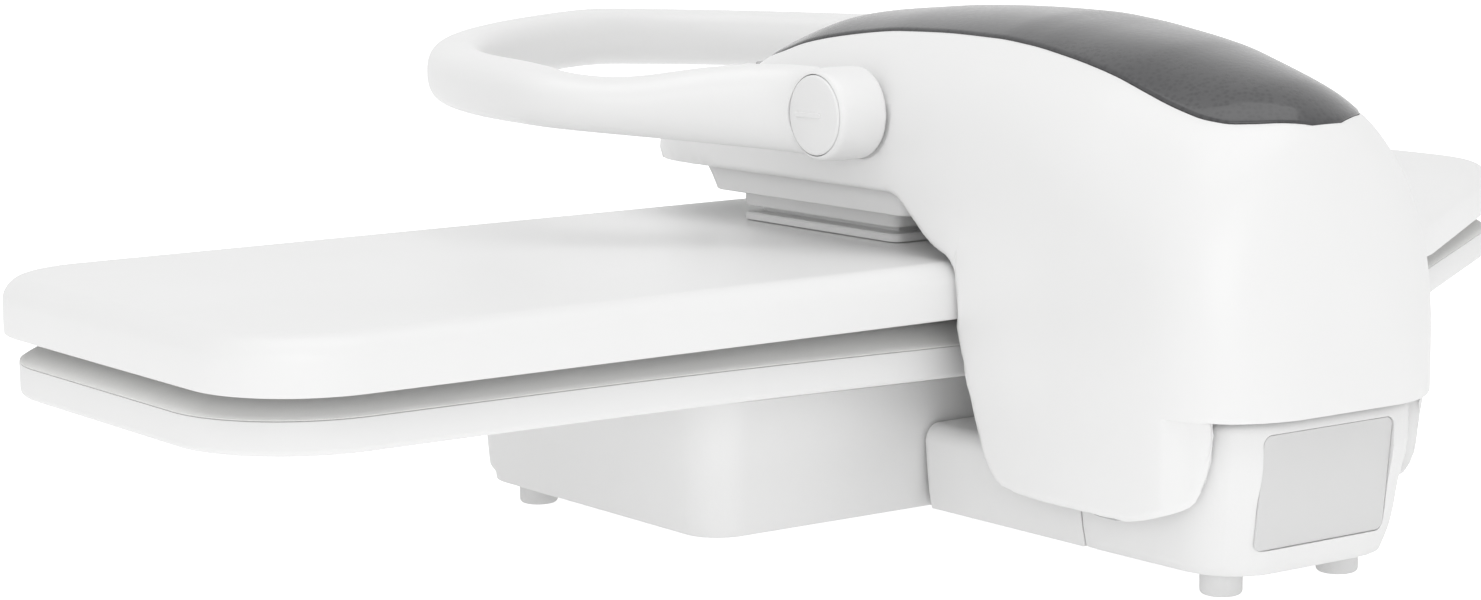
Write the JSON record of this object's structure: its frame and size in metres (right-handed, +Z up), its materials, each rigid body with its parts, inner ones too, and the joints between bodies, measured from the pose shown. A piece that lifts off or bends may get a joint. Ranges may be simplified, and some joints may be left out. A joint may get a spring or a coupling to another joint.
{
  "type": "steam ironing press",
  "caption": "Table-top steam ironing press: long padded board on a T-shaped base, heated upper plate on a high hinged arm with a loop handle, smoked tank cover and panel with buttons",
  "frame": {"origin": "on the table, under the middle of the whole press", "axes": "+X along the board towards its square end, -Y towards the handle and the person who uses it, +Z up"},
  "size_m": [0.64, 0.4339, 0.18],
  "materials": {
    "white_plastic": "satin white moulded plastic",
    "white_matte": "plain white plastic inside and under the press",
    "plate_grey": "bare light grey rating plate",
    "rubber": "pale soft rubber",
    "steel": "plain bright steel",
    "aluminium": "smooth cast aluminium",
    "brass": "plain brass",
    "smoked": "smoked clear plastic, nearly opaque",
    "clear": "clear plastic",
    "fabric": "plain white woven cotton",
    "foam": "cream open foam",
    "dark_plastic": "dark plastic",
    "card": "green circuit card"
  },
  "bodies": {
    "base": {"base_tray": "white_matte", "front_housing": "white_plastic", "middle_housing": "white_plastic", "rear_housing": "white_plastic", "rating_plate": "plate_grey", "foot_front_left": "rubber", "foot_front_right": "rubber", "foot_rear_left": "rubber", "foot_rear_right": "rubber", "base_screw_1": "steel", "base_screw_2": "steel", "base_screw_3": "steel", "base_screw_4": "steel", "board_pan": "white_plastic", "board_plate": "steel", "board_pad": "foam", "board_cover": "fabric", "hinge_shaft": "steel", "counterbalance_spring_left": "steel", "counterbalance_spring_right": "steel", "cord_gland": "rubber", "terminal_block": "white_matte"},
    "arm": {"arm_shell": "white_plastic", "arm_frame": "steel", "arm_inner_cover": "white_matte", "lower_cover": "white_plastic", "hinge_bush_left": "brass", "hinge_bush_right": "brass", "handle_pin_left": "steel", "handle_pin_right": "steel", "control_panel": "dark_plastic", "display_window": "smoked", "control_board": "card", "pump": "dark_plastic", "pump_bracket": "steel", "tank_valve": "white_matte", "steam_pipe": "white_matte", "pressure_spring": "steel"},
    "plate": {"plate_housing": "white_plastic", "sole_plate": "aluminium", "heating_element": "steel", "thermostat": "white_matte", "thermal_fuse": "steel", "steam_inlet": "brass", "plate_neck": "white_matte"},
    "tank": {"water_tank": "clear", "tank_cover": "smoked"},
    "handle": {"handle_loop": "white_plastic", "handle_cap_left": "white_plastic", "handle_cap_right": "white_plastic"},
    "button_power": {"button_power": "white_plastic"},
    "button_steam": {"button_steam": "white_plastic"},
    "button_heat_down": {"button_heat_down": "white_plastic"},
    "button_heat_up": {"button_heat_up": "white_plastic"}
  },
  "joints": [
    {"name": "arm_hinge", "type": "hinge", "parent": "base", "child": "arm", "pos_m": [0, 0.161, 0.036], "axis": [-1, 0, 0], "range_deg": [0, 45]},
    {"name": "plate_float", "type": "slide", "parent": "arm", "child": "plate", "axis": [0, 0, 1], "range_m": [0, 0.002], "stiffness_N_per_m": 8000, "springref_m": -0.008, "deforming": ["pressure_spring"]},
    {"name": "tank_lift", "type": "slide", "parent": "arm", "child": "tank", "axis": [0, 0, 1], "range_m": [0, 0.06]},
    {"name": "handle_hinge", "type": "hinge", "parent": "arm", "child": "handle", "pos_m": [0, 0.038, 0.1455], "axis": [-1, 0, 0], "range_deg": [0, 20]},
    {"name": "press_power", "type": "slide", "parent": "arm", "child": "button_power", "axis": [0, 0.891, -0.454], "range_m": [0, 0.0012], "stiffness_N_per_m": 450, "springref_m": -0.0004},
    {"name": "press_steam", "type": "slide", "parent": "arm", "child": "button_steam", "axis": [0, 0.891, -0.454], "range_m": [0, 0.0012], "stiffness_N_per_m": 450, "springref_m": -0.0004},
    {"name": "press_heat_down", "type": "slide", "parent": "arm", "child": "button_heat_down", "axis": [0, 0.891, -0.454], "range_m": [0, 0.0012], "stiffness_N_per_m": 450, "springref_m": -0.0004},
    {"name": "press_heat_up", "type": "slide", "parent": "arm", "child": "button_heat_up", "axis": [0, 0.891, -0.454], "range_m": [0, 0.0012], "stiffness_N_per_m": 450, "springref_m": -0.0004}
  ]
}
